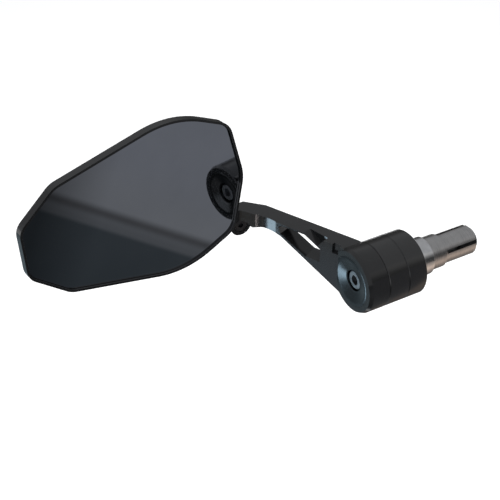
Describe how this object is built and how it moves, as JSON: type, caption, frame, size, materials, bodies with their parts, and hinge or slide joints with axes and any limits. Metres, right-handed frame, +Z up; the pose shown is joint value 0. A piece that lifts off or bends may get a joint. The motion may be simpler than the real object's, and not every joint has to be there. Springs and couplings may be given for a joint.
{
  "type": "motorcycle bar end mirror",
  "caption": "Motorcycle bar end mirror: a faceted slim mirror on a ball stem, a windowed machined arm, and a slotted expander that grips the handlebar bore.",
  "frame": {"origin": "centre of the collar face that stops against the end of the handlebar tube, on the bar axis", "axes": "+X along the bar axis into the handlebar, +Y forwards, away from the rider, +Z up"},
  "size_m": [0.2246, 0.0978, 0.101],
  "materials": {
    "black_anodised": "matte black anodised",
    "black_cup": "semi-gloss black anodised",
    "polished_aluminium": "polished",
    "satin_aluminium": "satin turned",
    "zinc_steel": "zinc plated",
    "black_steel": "blackened",
    "stem_steel": "black oxide",
    "tinted_mirror": "tinted mirror",
    "foam_tape": "foam adhesive"
  },
  "bodies": {
    "bar_end": {"collar": "polished_aluminium", "expander_sleeve": "satin_aluminium", "wedge_nut": "zinc_steel", "end_ring": "black_anodised", "spacer_ring": "black_anodised", "cup_washer": "black_cup", "clamp_bolt": "zinc_steel"},
    "swing_arm": {"arm": "black_anodised", "clamp_jaw": "black_anodised", "jaw_screw_near": "black_steel", "jaw_screw_far": "black_steel"},
    "stem": {"ball_stem": "stem_steel"},
    "mirror_head": {"mirror_glass": "tinted_mirror", "glass_tape": "foam_tape", "housing": "black_anodised", "socket_bracket": "black_anodised", "socket_cap": "black_anodised", "cap_screw_upper": "black_steel", "cap_screw_lower": "black_steel", "foot_screw_upper": "black_steel", "foot_screw_lower": "black_steel"}
  },
  "joints": [
    {"name": "arm_turn", "type": "hinge", "parent": "bar_end", "child": "swing_arm", "pos_m": [-0.036, 0, 0], "axis": [1, 0, 0], "range_deg": [-90, 90]},
    {"name": "stem_turn", "type": "hinge", "parent": "swing_arm", "child": "stem", "pos_m": [-0.08579, 0.07041, 0.009], "axis": [0, 0, 1], "range_deg": [-10, 20]},
    {"name": "mirror_tilt", "type": "hinge", "parent": "stem", "child": "mirror_head", "pos_m": [-0.10266, 0.06833, 0.03168], "axis": [0.9925, 0.1226, 0], "range_deg": [-20, 8]}
  ]
}
